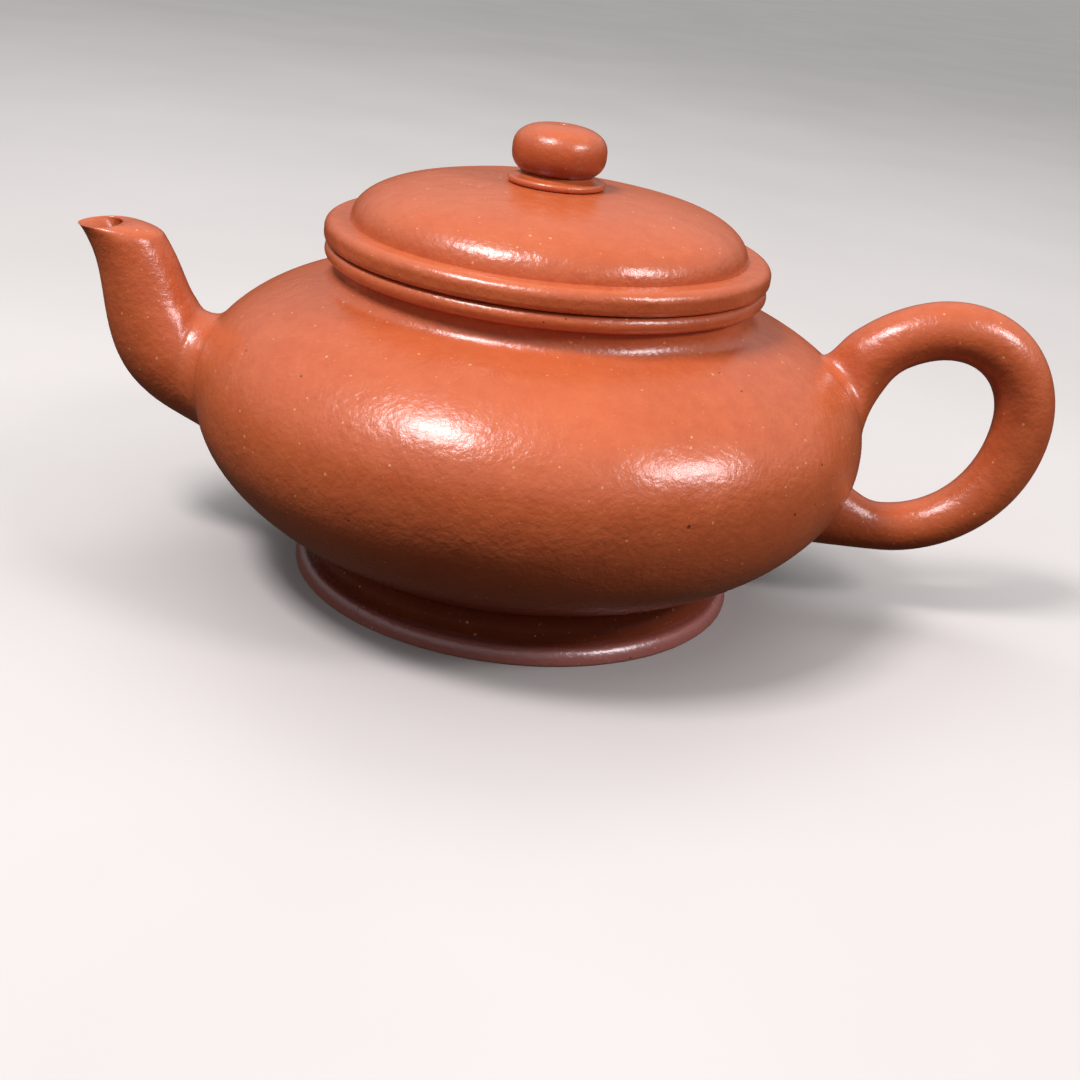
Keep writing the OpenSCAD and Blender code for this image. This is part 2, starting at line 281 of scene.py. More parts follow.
def turned(name, outline, poles=None):
    """A piece turned round the pot's axis from one outline of (radius, height) points."""
    return make_mesh(name, *spin(outline, poles))


# ---- pot pieces turned on the axis ----
COVE_R = 2.2 * MM
BAND_ROUND = 1.5 * MM  # how far the foot's band curves in at its top
BAND_RISE = 1.9 * MM  # height of that curve
EDGE_ROUND = 0.4 * MM
RECESS_R = 29.2 * MM
MOUTH_R = 28 * MM
NECK_COVE_R = 2.3 * MM
SHOULDER_SEAM_R = 36 * MM
RIM_SOFT = 0.3 * MM
HUB = 1 * MM  # innermost ring of points of a piece without a bore

SLOPE_STEP = 0.01 * MM
BASE_R = float(swell(BASE_Z))
BASE_SLOPE = math.degrees(math.atan2(SLOPE_STEP, swell(BASE_Z + SLOPE_STEP) - BASE_R))
COVE_C = (BASE_R + COVE_R * math.sin(math.radians(BASE_SLOPE)),
          BASE_Z - COVE_R * math.cos(math.radians(BASE_SLOPE)))
COVE_SPLIT = 180 + math.degrees(math.asin((COVE_C[1] - UNDER_Z) / COVE_R))
BAND_Z = COVE_C[1] - COVE_R

NECK_START_R = 32.3 * MM
NECK_START_Z = float(shoulder_z(NECK_START_R))
NECK_SLOPE = math.degrees(math.atan2(shoulder_z(NECK_START_R - SLOPE_STEP) - NECK_START_Z,
                                     SLOPE_STEP))
NECK_C = (NECK_START_R + NECK_COVE_R * math.sin(math.radians(NECK_SLOPE)),
          NECK_START_Z + NECK_COVE_R * math.cos(math.radians(NECK_SLOPE)))
SEAM_IN_Z = float(shoulder_z(SHOULDER_SEAM_R, WALL))


def foot_ring():
    band_middle = (FOOT_R - BAND_ROUND, BAND_Z - BAND_RISE)
    band = arc((0, 0), 1, 0, 90, 16) * (BAND_ROUND, BAND_RISE) + band_middle
    return turned("foot_ring_clay", [
        arc((RECESS_R + EDGE_ROUND, EDGE_ROUND), EDGE_ROUND, 180, 270, 6),
        arc((FOOT_R - EDGE_ROUND, EDGE_ROUND), EDGE_ROUND, 270, 360, 6),
        band,
        hem(arc(COVE_C, COVE_R, 270, COVE_SPLIT, 14)),
        line((BASE_R - COVE_R, UNDER_Z), (RECESS_R, UNDER_Z), 2),
        line((RECESS_R, UNDER_Z), (RECESS_R, EDGE_ROUND), 3)])


def base_disc():
    return turned("base_disc_clay", [
        line((HUB, UNDER_Z), (COVE_C[0] - COVE_R, UNDER_Z), 12),
        hem(arc(COVE_C, COVE_R, COVE_SPLIT, 90 + BASE_SLOPE, 14)),
        line((BASE_R, BASE_Z), (HUB, BASE_Z), 12)], (UNDER_Z, BASE_Z))


def belly_wall():
    return turned("belly_wall_clay", [
        hem(belly_curve(BASE_Z, SEAM_Z, 0, 110)),
        hem(belly_curve(SEAM_IN_Z, BASE_Z, WALL, 70))])


def shoulder_disc():
    return turned("shoulder_disc_clay", [
        hem(belly_curve(SEAM_Z, NECK_START_Z, 0, 18)),
        line((NECK_START_R, NECK_START_Z), (MOUTH_R, NECK_START_Z), 3),
        hem(belly_curve(float(shoulder_z(MOUTH_R, WALL)), SEAM_IN_Z, WALL, 14))])


def neck_ring():
    cove = arc(NECK_C, NECK_COVE_R, 270 - NECK_SLOPE, 180, 18)
    return turned("neck_ring_clay", [
        hem(cove),
        line(cove[-1], (NECK_C[0] - NECK_COVE_R, RIM_Z), 2),
        line((MOUTH_R, RIM_Z), (MOUTH_R, NECK_START_Z), 3)])


def mouth_rim():
    half = (MOUTH_Z - RIM_Z) / 2
    return turned("mouth_rim_clay", [
        arc((RIM_R - half, MOUTH_Z - half), half, -90, 90, 28),
        line((RIM_R - half, MOUTH_Z), (MOUTH_R + RIM_SOFT, MOUTH_Z), 4),
        arc((MOUTH_R + RIM_SOFT, MOUTH_Z - RIM_SOFT), RIM_SOFT, 90, 180, 6),
        line((MOUTH_R, MOUTH_Z - RIM_SOFT), (MOUTH_R, RIM_Z), 3)])


# ---- lid pieces ----
PLATE_LOW_ROUND = 1.0 * MM
PLATE_HIGH_ROUND = 1.4 * MM
COLLAR_T = 2.5 * MM
COLLAR_SOFT = 0.5 * MM
DOME_RISE = 8.4 * MM
DOME_EQUATOR = MOUTH_Z + 2.2 * MM
DOME_R = 28.9 * MM
DOME_POWER = 2.7
DOME_T = 2.4 * MM
VENT_R = 0.6 * MM
VENT_FLARE = 0.35 * MM
VENT_FLARE_DEPTH = 0.5 * MM
PAD_BEAD = 0.5 * MM
PAD_TUCK = 1.1 * MM  # how far the pad's underside stays inside its edge
PAD_SUNK = 0.2 * MM
PAD_RISE_R = 0.6 * MM  # this and the next place the bend of the pad's top outside the knob's seat
PAD_RISE_Z = 1.1 * MM
KNOB_HALF = 3.85 * MM
KNOB_POWER = 2.6
KNOB_SEAT_R = 5.1 * MM


def lid_plate():
    inner = COLLAR_R - COLLAR_T
    seat = MOUTH_Z + FILM
    return turned("lid_plate_clay", [
        arc((PLATE_R - PLATE_LOW_ROUND, seat + PLATE_LOW_ROUND), PLATE_LOW_ROUND, 270, 360, 12),
        arc((PLATE_R - PLATE_HIGH_ROUND, PLATE_Z - PLATE_HIGH_ROUND), PLATE_HIGH_ROUND, 0, 90, 16),
        line((PLATE_R - PLATE_HIGH_ROUND, PLATE_Z), (inner, PLATE_Z), 8),
        line((inner, seat), (PLATE_R - PLATE_LOW_ROUND, seat), 8)])


def lid_collar():
    soft_z = COLLAR_LOW[2] + COLLAR_SOFT
    inner = COLLAR_R - COLLAR_T
    return turned("lid_collar_clay", [
        arc((COLLAR_R - COLLAR_SOFT, soft_z), COLLAR_SOFT, 270, 360, 8),
        line((COLLAR_R, soft_z), (COLLAR_R, MOUTH_Z), 6),
        line((inner, MOUTH_Z), (inner, soft_z), 6),
        arc((inner + COLLAR_SOFT, soft_z), COLLAR_SOFT, 180, 270, 8)])


def lid_dome():
    step = PLATE_Z - DOME_EQUATOR
    low = math.asin((step / DOME_RISE) ** (DOME_POWER / 2))
    low_in = math.asin((step / (DOME_RISE - DOME_T)) ** (DOME_POWER / 2))
    top = math.acos((VENT_R / DOME_R) ** (DOME_POWER / 2))
    rise = (0, DOME_EQUATOR)
    outside = dome_curve(DOME_R, DOME_Z - DOME_EQUATOR, DOME_POWER, low, top, 64) + rise
    inside = dome_curve(DOME_R - DOME_T, DOME_RISE - DOME_T, DOME_POWER, low_in, top, 40) + rise
    return turned("lid_dome_clay", [outside, inside[::-1]])


def knob_pad():
    """Thin disc with a beaded edge, sunk a little into the dome, that rises to the knob's seat."""
    low = PAD_LOW[2]
    edge_r = PAD_HIGH[0] - PAD_BEAD
    rise = [(edge_r, low + 2 * PAD_BEAD), (KNOB_SEAT_R + PAD_RISE_R, low + PAD_RISE_Z),
            (KNOB_SEAT_R, PAD_Z)]
    return turned("knob_pad_clay", [
        [(VENT_R, low - PAD_SUNK), (PAD_HIGH[0] - PAD_TUCK, low - PAD_SUNK)],
        arc((edge_r, low + PAD_BEAD), PAD_BEAD, -60, 90, 14),
        bezier(rise, np.linspace(0, 1, 10))[1:],
        [(VENT_R, PAD_Z)]])


def knob():
    """Flattened ball with the air hole down its middle, softened where the hole starts."""
    r = KNOB_HIGH[0]
    mid = KNOB_HALF * (1 - (KNOB_SEAT_R / r) ** KNOB_POWER) ** (1 / KNOB_POWER)
    low = math.asin((mid / KNOB_HALF) ** (KNOB_POWER / 2))
    top = math.acos(((VENT_R + VENT_FLARE) / r) ** (KNOB_POWER / 2))
    under = dome_curve(r, KNOB_HALF, KNOB_POWER, low, 0, 40) * (1, -1) + (0, PAD_Z + mid)
    over = dome_curve(r, KNOB_HALF, KNOB_POWER, 0, top, 56) + (0, PAD_Z + mid)
    top_z = over[-1][1]
    lip = bezier([over[-1], (VENT_R, top_z), (VENT_R, top_z - VENT_FLARE_DEPTH)], np.linspace(0, 1, 8))
    return turned("knob_clay", [[(VENT_R, PAD_Z)], under, over[1:], lip[1:]])


# ---- swept pieces luted to the belly ----
# Control points, x and z, in the plane through spout and handle: the spout's outer and inner edge,
# and the upper and lower half of the handle's centre line
SPOUT_OUTER = np.array([(-45.2, 14.5), (-52.8, 21), (-71, 20.5), (-60.4, 40.3), (-68.9, 46.5)]) * MM
SPOUT_INNER = np.array([(-46.4, 35), (-53.9, 33.7), (-51.8, 41.3), (-55, 43.8), (-57.2, 47.4)]) * MM
HANDLE_UPPER = np.array([(44, 35.7), (50, 40.7), (57.5, 52.1), (74.3, 46.5), (74.3, 32.7)]) * MM
HANDLE_LOWER = np.array([(74.3, 32.7), (74.3, 22.1), (65.6, 9.1), (45.6, 15.4)]) * MM
LUTED_DEPTH = 0.15 * MM  # how far the spout's hidden underside goes into the belly's skin
FILLET_ROWS = 14
FILLET_PULL = 0.5  # how far each tangent of a fillet reaches, as a share of its span
FILLET_STEP = 0.02  # a short way out from a root, as a share of the fillet


def ring_angles(sides):
    return np.linspace(0, 2 * math.pi, sides, endpoint=False)


def root_ring(side, mid_z, half_z, half_y, a, lift):
    """Ring of points on the belly round a root, lifted off the belly by lift.

    side is +1 at the handle and -1 at the spout, and a holds the angles of the points.
    """
    z = mid_z + half_z * np.cos(a)
    y = half_y * np.sin(a)
    return np.column_stack([side * (np.sqrt(swell(z) ** 2 - y * y) + lift), y, z])


def raise_from_belly(points, lift):
    """Lifts points that lie under the belly's skin out to just above it."""
    r = np.hypot(points[:, 0], points[:, 1])
    short = np.maximum(0, swell(points[:, 2]) + lift - r)
    return points + np.column_stack([points[:, :2] / r[:, None] * short[:, None],
                                     np.zeros(len(points))])


def bezier_rows(controls, steps):
    """Rows of points along curves that rows of control points draw, without the first row."""
    rows = []
    for u in np.linspace(0, 1, steps + 1)[1:]:
        level = list(controls)
        while len(level) > 1:
            level = [mix(a, b, u) for a, b in zip(level, level[1:])]
        rows.append(level[0])
    return rows


def fillet(start, run, ring):
    """Rows of points from a ring on a tube down to the belly, tangent to both.

    run is the tube's direction at each point, and ring(out) gives the ring on the belly from the
    tube's own root at out 0 to the edge of the fillet at out 1.
    """
    foot = ring(1.0)
    spread = unit(foot - ring(1.0 - FILLET_STEP))
    pull = np.linalg.norm(foot - start, axis=1)[:, None] * FILLET_PULL
    controls = [start, start + run * pull, foot - spread * pull, foot]
    return [raise_from_belly(row, FILM) for row in bezier_rows(controls, FILLET_ROWS)]


# ---- spout ----
SPOUT_ROOT_Z = 24.75 * MM
SPOUT_ROOT_HALF_Z = 10.25 * MM
SPOUT_ROOT_HALF = 10 * MM
SPOUT_LIP_HALF = 5.3 * MM
SPOUT_ROOT_T = 3 * MM
SPOUT_LIP_T = 1.0 * MM
SPOUT_BACK = 4.4 * MM  # how much thicker the wall is at the back of the lip
SPOUT_BACK_SHARE = 0.3
SPOUT_FLARE = 2.2 * MM
SPOUT_FLARE_SHARE = 0.18
SPOUT_BLEND = 0.32
SPOUT_NARROW_RATE = 1.05  # narrows from root to lip, and is done a little before the lip
SPOUT_THIN_RATE = 1.3  # thins from root to lip, and is done well before the lip
SPOUT_LUTE_Z = 2.0 * MM
SPOUT_LUTE_Y = 3.4 * MM
SPOUT_LUTED = 0.1  # share of the spout where the root's fillet ends
SPOUT_HIDDEN = 0.9  # how far out under the fillet the hidden underside goes, as a share of it
SPOUT_SIDES = 96
SKIN_ROWS = 90
LIP_ROWS = (18, 8)  # outside and inside the top of the lip
BORE_ROWS = 60
SPOUT_STEP = 0.01
# The lip's roll: shares of the spout where it starts outside and ends inside, then shares at the
# front of the lip and how much they change to its back
ROLL_START = 0.89
ROLL_END = 0.985
BORE_START = 0.97
ROLL_TOP = (0.15, 0.3)
ROLL_CORNER = (0.94, -0.45)
ROLL_ROUND = 0.8
ROLL_SPLIT = 0.45


def spout_half_y(u):
    """Half the spout's width at share u of its length, which flares at the root."""
    narrow = mix(SPOUT_ROOT_HALF - SPOUT_FLARE, SPOUT_LIP_HALF, smooth(u * SPOUT_NARROW_RATE))
    return narrow + SPOUT_FLARE * np.maximum(0, 1 - u / SPOUT_FLARE_SHARE) ** 2


def spout_section(u, a, t, back=0.0):
    """Section of the spout at share u, t under its skin, and by back more at its back."""
    outer = bezier(SPOUT_OUTER, np.array([u]))[0]
    inner = bezier(SPOUT_INNER, np.array([u]))[0]
    half = (inner - outer) / 2
    length = np.linalg.norm(half)
    share = 1 - (t + back / 2) / length
    middle = (outer + inner) / 2 - half / length * back / 2
    side = (spout_half_y(u) - t) * np.sin(a)
    return np.column_stack([middle[0] + half[0] * share * np.cos(a), side,
                            middle[1] + half[1] * share * np.cos(a)])


def spout_ring(u, a, t, back=0.0):
    """The same section, drawn on to the belly near the root."""
    root = root_ring(-1, SPOUT_ROOT_Z, SPOUT_ROOT_HALF_Z - t, SPOUT_ROOT_HALF - t, a, 0)
    shift = root - spout_section(0, a, t)
    return spout_section(u, a, t, back) + shift * smooth(1 - u / SPOUT_BLEND)


def spout_bore(u, a):
    """Ring on the inside of the spout, whose wall grows thick at the back of the lip."""
    wall = mix(SPOUT_ROOT_T, SPOUT_LIP_T, smooth(SPOUT_THIN_RATE * u))
    return spout_ring(u, a, wall, SPOUT_BACK * smooth(1 - (1 - u) / SPOUT_BACK_SHARE))


def spout_root(out, a, lift):
    """Ring on the belly round the spout, from its root at out 0 to the fillet's edge at out 1."""
    return root_ring(-1, SPOUT_ROOT_Z, SPOUT_ROOT_HALF_Z + out * SPOUT_LUTE_Z,
                     SPOUT_ROOT_HALF + out * SPOUT_LUTE_Y, a, lift)


def spout_lip(a, first):
    """Rows that roll from the spout's skin over the lip into its opening, more roundly at the back."""
    back = (1 + np.cos(a)[:, None]) / 2
    edge = spout_ring(1.0, a, 0)
    brim = spout_bore(1.0, a)
    brow = mix(edge, brim, ROLL_TOP[0] + ROLL_TOP[1] * back)
    top = mix(brow, brim, ROLL_SPLIT)
    rise = unit(spout_ring(ROLL_START + SPOUT_STEP, a, 0) - first)
    height = np.linalg.norm(edge - first, axis=1)[:, None] * (ROLL_CORNER[0] + ROLL_CORNER[1] * back)
    corner = first + rise * height
    over = bezier_rows([first, corner, mix(corner, brow, ROLL_ROUND), top], LIP_ROWS[0])
    return over + bezier_rows([top, brim, spout_bore(ROLL_END, a)], LIP_ROWS[1])


def spout():
    a = ring_angles(SPOUT_SIDES)
    start = spout_ring(SPOUT_LUTED, a, 0)
    run = unit(start - spout_ring(SPOUT_LUTED + SPOUT_STEP, a, 0))
    rows = fillet(start, run, lambda out: spout_root(out, a, FILM))[::-1]
    rows += [spout_ring(u, a, 0) for u in np.linspace(SPOUT_LUTED, ROLL_START, SKIN_ROWS)]
    rows += spout_lip(a, rows[-1])
    rows += [spout_bore(u, a) for u in np.linspace(BORE_START, 0, BORE_ROWS)]
    rows += [spout_root(0, a, -LUTED_DEPTH), spout_root(SPOUT_HIDDEN, a, -LUTED_DEPTH)]
    return make_mesh("spout_clay", np.vstack(rows), grid_faces(len(rows), SPOUT_SIDES, True))


# ---- strainer ----
STRAINER_R = 6 * MM
STRAINER_T = 1.5 * MM
STRAINER_FACE_T = 1.2 * MM
STRAINER_SOFT = 1.0 * MM
STRAINER_HUB = 0.3 * MM
POUR_R = 0.6 * MM
POUR_SIDES = 24
POUR_ROW = 1.8 * MM
POUR_ROWS = 3
POUR_MORE = 6  # holes that each ring has more than the ring inside it
DRILL_LENGTH = 8 * MM


def drill(piece, centre, along, radius):
    """Cuts a round hole through a piece."""
    work = bmesh.new()
    turn = Vector(along).to_track_quat("Z", "Y").to_matrix().to_4x4()
    bmesh.ops.create_cone(work, cap_ends=True, segments=POUR_SIDES, radius1=radius, radius2=radius,
                          depth=DRILL_LENGTH, matrix=Matrix.Translation(centre) @ turn)
    mesh = bpy.data.meshes.new("drill")
    work.to_mesh(mesh)
    work.free()
    tool = bpy.data.objects.new("drill", mesh)
    bpy.context.scene.collection.objects.link(tool)
    cut = piece.modifiers.new("hole", "BOOLEAN")
    cut.object = tool
    cut.operation = "DIFFERENCE"
    cut.solver = "EXACT"
    done = bpy.data.meshes.new_from_object(piece.evaluated_get(bpy.context.evaluated_depsgraph_get()))
    piece.modifiers.clear()
    old = piece.data
    piece.data = done
    bpy.data.meshes.remove(old)
    bpy.data.objects.remove(tool)
    bpy.data.meshes.remove(mesh)
    piece.data.shade_smooth()
    piece.data.set_sharp_from_angle(angle=SHARP)


def spout_strainer():
    """Raised strainer inside the pot, with its rings of pouring holes cut through."""
    face = STRAINER_HIGH[0]
    root = STRAINER_LOW[0]
    middle = (STRAINER_LOW[2] + STRAINER_HIGH[2]) / 2
    inner = STRAINER_R - STRAINER_T
    back = face - STRAINER_FACE_T
    points, faces = spin([
        [(STRAINER_HUB, back), (inner, back), (inner, root), (STRAINER_R, root)],
        arc((STRAINER_R - STRAINER_SOFT, face - STRAINER_SOFT), STRAINER_SOFT, 0, 90, 8),
        [(STRAINER_HUB, face)]], (back, face))
    piece = make_mesh("spout_strainer_clay", points[:, [2, 0, 1]] + (0, 0, middle), faces)
    for row in range(POUR_ROWS):
        count = max(1, row * POUR_MORE)
        out = row * POUR_ROW
        for i in range(count):
            turn = 2 * math.pi * i / count
            centre = (face, out * math.cos(turn), middle + out * math.sin(turn))
            drill(piece, centre, (1, 0, 0), POUR_R)
    return piece


# ---- handle ----
HANDLE_TOP_HALF = 4.3 * MM
HANDLE_MID_HALF = 4.35 * MM
HANDLE_LOW_HALF = 3.6 * MM
HANDLE_OVAL = 1.06
HANDLE_WEB = 6.6 * MM
HANDLE_WEB_SHARE = 0.16
HANDLE_HIGH_ROOT = (32.6 * MM, 6.9 * MM)
HANDLE_LOW_ROOT = (15.7 * MM, 5.2 * MM)
HANDLE_HIGH_FLARE = 1.3 * MM
HANDLE_LOW_FLARE = 1.2 * MM
HANDLE_BLEND = 0.1
HANDLE_LUTE = 1.8 * MM
HANDLE_LUTED = 0.035  # share of the handle where the fillet of each root ends
HANDLE_SIDES = 72
HANDLE_ROWS = 170
HANDLE_RUN_STEP = 0.002
HANDLE_LUTE_STEP = 0.005
HANDLE_CAP_DEPTH = 0.3 * MM  # how far the hidden middle of each end goes into the belly's skin


def handle_path(u):
    """Point of the centre line at share u, from the upper root to the lower."""
    if u < 0.5:
        return bezier(HANDLE_UPPER, np.array([2 * u]))[0]
    return bezier(HANDLE_LOWER, np.array([2 * u - 1]))[0]


def handle_half(u):
    """Half the handle's height at share u."""
    if u < 0.5:
        return mix(HANDLE_TOP_HALF, HANDLE_MID_HALF, smooth(2 * u))
    return mix(HANDLE_MID_HALF, HANDLE_LOW_HALF, smooth(2 * u - 1))


def handle_section(u, a):
    """Oval section at share u, with the web under the upper root and a flare at both roots."""
    run = handle_path(min(1, u + HANDLE_RUN_STEP)) - handle_path(max(0, u - HANDLE_RUN_STEP))
    out = np.array([-run[1], run[0]]) / np.linalg.norm(run)
    web = HANDLE_WEB * max(0, 1 - u / HANDLE_WEB_SHARE) ** 2 / 2
    flare = (HANDLE_HIGH_FLARE * max(0, 1 - u / HANDLE_BLEND) ** 2
             + HANDLE_LOW_FLARE * max(0, 1 - (1 - u) / HANDLE_BLEND) ** 2)
    half = handle_half(u)
    middle = handle_path(u) - out * web
    rise = np.outer(np.cos(a), out) * (half + web + flare)
    side = (half * HANDLE_OVAL + flare) * np.sin(a)
    return np.column_stack([middle[0] + rise[:, 0], side, middle[1] + rise[:, 1]])


def handle_root(end, a, out):
    """Ring on the belly round the upper or the lower root, a distance out beyond it."""
    if end == 0:
        mid, half = HANDLE_HIGH_ROOT
        half_y = HANDLE_TOP_HALF * HANDLE_OVAL + HANDLE_HIGH_FLARE
        return root_ring(1, mid, half + out, half_y + out, a, FILM)
    mid, half = HANDLE_LOW_ROOT
    half_y = HANDLE_LOW_HALF * HANDLE_OVAL + HANDLE_LOW_FLARE
    return root_ring(1, mid, -(half + out), half_y + out, a, FILM)


def handle_ring(u, a):
    """The same section, drawn on to the belly near both roots."""
    high = handle_root(0, a, 0) - handle_section(0, a)
    low = handle_root(1, a, 0) - handle_section(1, a)
    return (handle_section(u, a) + high * smooth(1 - u / HANDLE_BLEND)
            + low * smooth(1 - (1 - u) / HANDLE_BLEND))


def handle_skirt(end, u, step, a):
    """Fillet at one end of the handle, from share u of its length down to the belly."""
    start = handle_ring(u, a)
    run = unit(start - handle_ring(u + step, a))
    return fillet(start, run, lambda out: handle_root(end, a, out * HANDLE_LUTE))


def handle():
    a = ring_angles(HANDLE_SIDES)
    shares = np.linspace(HANDLE_LUTED, 1 - HANDLE_LUTED, HANDLE_ROWS)
    rows = handle_skirt(0, HANDLE_LUTED, HANDLE_LUTE_STEP, a)[::-1]
    rows += [handle_ring(u, a) for u in shares]
    rows += handle_skirt(1, 1 - HANDLE_LUTED, -HANDLE_LUTE_STEP, a)
    caps = [root_ring(1, mid, 0, 0, np.zeros(1), -HANDLE_CAP_DEPTH)
            for mid, _ in (HANDLE_HIGH_ROOT, HANDLE_LOW_ROOT)]
    count = len(rows) * HANDLE_SIDES
    faces = grid_faces(len(rows), HANDLE_SIDES, False)
    faces += fan_faces(count, 0, HANDLE_SIDES) + fan_faces(count + 1, count - HANDLE_SIDES, HANDLE_SIDES)
    return make_mesh("handle_clay", np.vstack(rows + caps), faces)


# ---- materials ----
Shade = namedtuple("Shade", "bottom full none colour share shine clear_shine")
Grain = namedtuple("Grain", "cell radius kept colour share")

# Patches: scale per metre, detail and roughness of a noise, and the range of it that is spread out
CLOUDS = (38, 3, 0.5, 0.3, 0.7)
MOTTLE = (420, 4, 0.6, 0.3, 0.72)
FLECKS = (2600, 2, 0.6, 0.35, 0.7)
GLOSS = (90, 3, 0.5, 0.3, 0.7)
FLOOR_PATCHES = (9, 4, 0.5, 0.3, 0.7)
# Noises of the skin's height: scale per metre, detail and roughness
WRINKLES = (1250, 3, 0.55)
PEEL = (260, 2, 0.5)

# The deep, the common and the bright colour of each clay; the lid's and the foot's are darkened with
# painted shade
BODY_CLAY = ((0.43, 0.081, 0.025), (0.565, 0.120, 0.037), (0.64, 0.168, 0.057))
# The lid's clay is the body's clay a little darker: painted shade that dims the lid and the knob against
# the body
LID_CLAY_PAINTED_DIMMER = ((0.43, 0.081, 0.025), (0.545, 0.118, 0.037), (0.62, 0.163, 0.057))
# The foot's clay is dark: painted shade in the cove above the foot's band and under the base, as dark as
# the painted shade under the belly
FOOT_CLAY_PAINTED_DARK = ((0.18, 0.036, 0.015), (0.24, 0.050, 0.020), (0.30, 0.070, 0.030))
CLOUD_LEAST = 0.25
MOTTLE_MOST = 0.42
FLECK_MOST = 0.16

# Colours by height: none below a bottom, full up to a height, none from a third, with a colour, the
# most of it, and how much the clay shines where it is shaded and where it is clear. Under the belly
# and under the knob the colour is painted shade; on the foot's band it is the foot's own purple-brown
# Painted shade: the belly is painted darker towards its underside and the foot, where the shade falls,
# and shines less there
UNDER_BELLY_PAINTED_SHADE = Shade(0, 5 * MM, 23 * MM, (0.24, 0.042, 0.012), 0.78, 0.1, 1)
FOOT_BAND = Shade(-1 * MM, BAND_Z - 0.3 * MM, BAND_Z + 0.1 * MM, (0.40, 0.135, 0.115), 0.95, 1.6, 0.08)
# Painted shade: the knob's lower half, just over the pad, is painted darker, where the shade falls under
# the knob
UNDER_KNOB_PAINTED_SHADE = Shade(PAD_Z + 0.05 * MM, PAD_Z + 1.2 * MM, PAD_Z + 3.8 * MM, (0.20, 0.032, 0.010), 0.85,
                   0.5, 1)
SHADE_WAVER = 1 / 8  # how far the edge of a shade wavers, as a share of its own width

# Grains: a cell, a grain's radius in cells, the share of the cells that hold one, colour and strength
SAND = Grain(1.35 * MM, 0.17, 0.26, (0.80, 0.38, 0.15), 0.7)
GRIT = Grain(0.8 * MM, 0.17, 0.4, (0.76, 0.30, 0.13), 0.4)
IRON = Grain(3 * MM, 0.09, 0.16, (0.07, 0.022, 0.015), 0.85)
GRAIN_LEAST = 0.5  # the smallest grain, as a share of the largest

ROUGHNESS = (0.26, 0.34)
SAND_ROUGHNESS = 0.12
SPECULAR = 0.6
COAT = 0.35
COAT_ROUGHNESS = 0.25
SKIN_HEIGHT = 0.2 * MM
WRINKLE_HEIGHT = 0.55  # this and the next two are shares of the skin's height
SAND_HEIGHT = 0.35
IRON_DEPTH = 0.9

FLOOR_COLOURS = ((0.44, 0.425, 0.405), (0.47, 0.455, 0.435))
FLOOR_ROUGHNESS = 0.75
FLOOR_SPECULAR = 0.2


def link(tree, source, target):
    tree.links.new(source, target)


def node(tree, kind, **inputs):
    """A new shader node with values set on its inputs."""
    made = tree.nodes.new(kind)
    for key, value in inputs.items():
        made.inputs[key].default_value = value
    return made


def noise(tree, coords, scale, detail, roughness):
    made = node(tree, "ShaderNodeTexNoise", Scale=scale, Detail=detail, Roughness=roughness)
    link(tree, coords, made.inputs["Vector"])
    return made.outputs["Fac"]


def ranged(tree, value, low, high, to_low=0.0, to_high=1.0):
    """Socket that follows another from low to high with a value from to_low to to_high."""
    made = tree.nodes.new("ShaderNodeMapRange")
    made.inputs["From Min"].default_value = low
    made.inputs["From Max"].default_value = high
    made.inputs["To Min"].default_value = to_low
    made.inputs["To Max"].default_value = to_high
    link(tree, value, made.inputs["Value"])
    return made.outputs["Result"]


def patches(tree, coords, pattern, to_low=0.0, to_high=1.0):
    """Soft patches of a pattern, with a value from to_low to to_high."""
    scale, detail, roughness, low, high = pattern
    return ranged(tree, noise(tree, coords, scale, detail, roughness), low, high, to_low, to_high)


def maths(tree, operation, first, second):
    """Socket of an operation on two values, each a number or a socket."""
    made = tree.nodes.new("ShaderNodeMath")
    made.operation = operation
    for slot, value in enumerate((first, second)):
        if isinstance(value, (int, float)):
            made.inputs[slot].default_value = value
        else:
            link(tree, value, made.inputs[slot])
    return made.outputs["Value"]


def blend(tree, share, first, second):
    """Colour between two colours, each a colour or a socket, by the share that a socket gives."""
    made = tree.nodes.new("ShaderNodeMix")
    made.data_type = "RGBA"
    link(tree, share, made.inputs["Factor"])
    for name, value in (("A", first), ("B", second)):
        socket = next(s for s in made.inputs if s.name == name and s.type == "RGBA")
        if isinstance(value, bpy.types.NodeSocket):
            link(tree, value, socket)
        else:
            socket.default_value = (*value, 1)
    return next(s for s in made.outputs if s.type == "RGBA")


def height_of(tree, coords):
    """Z of the coordinates."""
    parts = tree.nodes.new("ShaderNodeSeparateXYZ")
    link(tree, coords, parts.inputs["Vector"])
    return parts.outputs["Z"]


def grains(tree, coords, grain):
    """Round grains: a share of the cells of a pattern holds one each."""
    cells = node(tree, "ShaderNodeTexVoronoi", Scale=1 / grain.cell)
    link(tree, coords, cells.inputs["Vector"])
    parts = tree.nodes.new("ShaderNodeSeparateColor")
    link(tree, cells.outputs["Color"], parts.inputs["Color"])
    reach = ranged(tree, parts.outputs["Green"], 0, 1, GRAIN_LEAST * grain.radius, grain.radius)
    inside = maths(tree, "LESS_THAN", cells.outputs["Distance"], reach)
    chosen = maths(tree, "LESS_THAN", parts.outputs["Red"], grain.kept)
    return maths(tree, "MULTIPLY", inside, chosen)


def shaded_share(tree, place, clouds, shade):
    """Share of a shade by height, 1 where it is full, with an edge that wavers with the clouds."""
    height = height_of(tree, place)
    waver = (shade.none - shade.full) * SHADE_WAVER
    uneven = maths(tree, "ADD", height, ranged(tree, clouds, 0, 1, -waver, waver))
    above = maths(tree, "GREATER_THAN", height, shade.bottom)
    return maths(tree, "MULTIPLY", ranged(tree, uneven, shade.full, shade.none, 1, 0), above)


